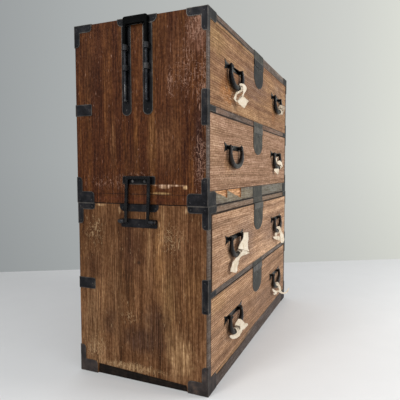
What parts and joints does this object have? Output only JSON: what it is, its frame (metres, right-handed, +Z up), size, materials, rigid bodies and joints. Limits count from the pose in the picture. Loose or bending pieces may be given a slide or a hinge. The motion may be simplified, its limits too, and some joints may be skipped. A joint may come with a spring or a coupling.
{
  "type": "stacking clothing chest",
  "caption": "Stacking wooden clothing chest with iron-bound sections, drawers with locks and bail handles, sliding carrying loops and folding lifting bails.",
  "frame": {"origin": "on the floor, under the middle of the chest's overall box", "axes": "+X along the front to the right, +Y towards the back, +Z up"},
  "size_m": [1.041, 0.452, 1.052],
  "materials": {
    "end_wood": "stained paulownia, worn and scuffed",
    "front_wood": "stained paulownia, rubbed pale round the handles",
    "frame_wood": "dark grey-brown stained rails",
    "inner_wood": "bare paulownia",
    "iron": "black oxidised sheet and wrought iron",
    "cloth": "unbleached cotton strip"
  },
  "bodies": {
    "lower_case": {"lower_left_end": "end_wood", "lower_right_end": "end_wood", "lower_top_board": "inner_wood", "lower_bottom_board": "inner_wood", "lower_back_panel": "inner_wood", "lower_dust_board": "inner_wood", "lower_front_frame": "frame_wood", "lower_corner_irons": "iron", "lower_strap_irons": "iron", "lower_strike_plates": "iron", "lifting_bail_plates": "iron", "lower_nails": "iron"},
    "upper_case": {"upper_left_end": "end_wood", "upper_right_end": "end_wood", "upper_top_board": "inner_wood", "upper_bottom_board": "end_wood", "upper_back_panel": "inner_wood", "upper_dust_board": "inner_wood", "upper_front_frame": "frame_wood", "upper_corner_irons": "iron", "upper_strap_irons": "iron", "upper_strike_plates": "iron", "carrying_loop_plates": "iron", "carrying_loop_staples": "iron", "upper_nails": "iron"},
    "drawer_1": {"drawer_1_front": "front_wood", "drawer_1_box": "inner_wood", "drawer_1_fittings": "iron"},
    "drawer_1_lock_bolt": {"drawer_1_lock_bolt": "iron"},
    "drawer_1_left_bail": {"drawer_1_left_bail": "iron", "drawer_1_left_tie": "cloth"},
    "drawer_1_right_bail": {"drawer_1_right_bail": "iron", "drawer_1_right_tie": "cloth"},
    "drawer_2": {"drawer_2_front": "front_wood", "drawer_2_box": "inner_wood", "drawer_2_fittings": "iron"},
    "drawer_2_lock_bolt": {"drawer_2_lock_bolt": "iron"},
    "drawer_2_left_bail": {"drawer_2_left_bail": "iron"},
    "drawer_2_right_bail": {"drawer_2_right_bail": "iron", "drawer_2_right_tie": "cloth"},
    "drawer_3": {"drawer_3_front": "front_wood", "drawer_3_box": "inner_wood", "drawer_3_fittings": "iron"},
    "drawer_3_lock_bolt": {"drawer_3_lock_bolt": "iron"},
    "drawer_3_left_bail": {"drawer_3_left_bail": "iron", "drawer_3_left_tie": "cloth"},
    "drawer_3_right_bail": {"drawer_3_right_bail": "iron", "drawer_3_right_tie": "cloth"},
    "drawer_4": {"drawer_4_front": "front_wood", "drawer_4_box": "inner_wood", "drawer_4_fittings": "iron"},
    "drawer_4_lock_bolt": {"drawer_4_lock_bolt": "iron"},
    "drawer_4_left_bail": {"drawer_4_left_bail": "iron", "drawer_4_left_tie": "cloth"},
    "drawer_4_right_bail": {"drawer_4_right_bail": "iron", "drawer_4_right_tie": "cloth"},
    "left_carrying_loop": {"left_carrying_loop": "iron"},
    "right_carrying_loop": {"right_carrying_loop": "iron"},
    "left_lifting_bail": {"left_lifting_bail": "iron"},
    "right_lifting_bail": {"right_lifting_bail": "iron"}
  },
  "joints": [
    {"name": "upper_case_lift", "type": "slide", "parent": "lower_case", "child": "upper_case", "axis": [0, 0, 1], "range_m": [0, 0.3]},
    {"name": "drawer_1_slide", "type": "slide", "parent": "upper_case", "child": "drawer_1", "axis": [0, -1, 0], "range_m": [0, 0.34]},
    {"name": "drawer_1_bolt_throw", "type": "slide", "parent": "drawer_1", "child": "drawer_1_lock_bolt", "axis": [0, 0, 1], "range_m": [0, 0.008]},
    {"name": "drawer_1_left_bail_swing", "type": "hinge", "parent": "drawer_1", "child": "drawer_1_left_bail", "pos_m": [-0.285, -0.2135, 0.932], "axis": [-1, 0, 0], "range_deg": [-1, 160]},
    {"name": "drawer_1_right_bail_swing", "type": "hinge", "parent": "drawer_1", "child": "drawer_1_right_bail", "pos_m": [0.285, -0.2135, 0.932], "axis": [-1, 0, 0], "range_deg": [-1, 160]},
    {"name": "drawer_2_slide", "type": "slide", "parent": "upper_case", "child": "drawer_2", "axis": [0, -1, 0], "range_m": [0, 0.34]},
    {"name": "drawer_2_bolt_throw", "type": "slide", "parent": "drawer_2", "child": "drawer_2_lock_bolt", "axis": [0, 0, 1], "range_m": [0, 0.008]},
    {"name": "drawer_2_left_bail_swing", "type": "hinge", "parent": "drawer_2", "child": "drawer_2_left_bail", "pos_m": [-0.285, -0.2135, 0.693], "axis": [-1, 0, 0], "range_deg": [-1, 160]},
    {"name": "drawer_2_right_bail_swing", "type": "hinge", "parent": "drawer_2", "child": "drawer_2_right_bail", "pos_m": [0.285, -0.2135, 0.693], "axis": [-1, 0, 0], "range_deg": [-1, 160]},
    {"name": "drawer_3_slide", "type": "slide", "parent": "lower_case", "child": "drawer_3", "axis": [0, -1, 0], "range_m": [0, 0.34]},
    {"name": "drawer_3_bolt_throw", "type": "slide", "parent": "drawer_3", "child": "drawer_3_lock_bolt", "axis": [0, 0, 1], "range_m": [0, 0.008]},
    {"name": "drawer_3_left_bail_swing", "type": "hinge", "parent": "drawer_3", "child": "drawer_3_left_bail", "pos_m": [-0.285, -0.218, 0.416], "axis": [-1, 0, 0], "range_deg": [-1, 160]},
    {"name": "drawer_3_right_bail_swing", "type": "hinge", "parent": "drawer_3", "child": "drawer_3_right_bail", "pos_m": [0.285, -0.218, 0.416], "axis": [-1, 0, 0], "range_deg": [-1, 160]},
    {"name": "drawer_4_slide", "type": "slide", "parent": "lower_case", "child": "drawer_4", "axis": [0, -1, 0], "range_m": [0, 0.34]},
    {"name": "drawer_4_bolt_throw", "type": "slide", "parent": "drawer_4", "child": "drawer_4_lock_bolt", "axis": [0, 0, 1], "range_m": [0, 0.008]},
    {"name": "drawer_4_left_bail_swing", "type": "hinge", "parent": "drawer_4", "child": "drawer_4_left_bail", "pos_m": [-0.285, -0.2155, 0.172], "axis": [-1, 0, 0], "range_deg": [-1, 160]},
    {"name": "drawer_4_right_bail_swing", "type": "hinge", "parent": "drawer_4", "child": "drawer_4_right_bail", "pos_m": [0.285, -0.2155, 0.172], "axis": [-1, 0, 0], "range_deg": [-1, 160]},
    {"name": "left_carrying_loop_rise", "type": "slide", "parent": "upper_case", "child": "left_carrying_loop", "axis": [0, 0, 1], "range_m": [0, 0.081]},
    {"name": "right_carrying_loop_rise", "type": "slide", "parent": "upper_case", "child": "right_carrying_loop", "axis": [0, 0, 1], "range_m": [0, 0.081]},
    {"name": "left_lifting_bail_swing", "type": "hinge", "parent": "lower_case", "child": "left_lifting_bail", "pos_m": [-0.514, 0.0085, 0.478], "axis": [0, -1, 0], "range_deg": [0, 187]},
    {"name": "right_lifting_bail_swing", "type": "hinge", "parent": "lower_case", "child": "right_lifting_bail", "pos_m": [0.514, 0.0085, 0.478], "axis": [0, 1, 0], "range_deg": [0, 187]}
  ]
}
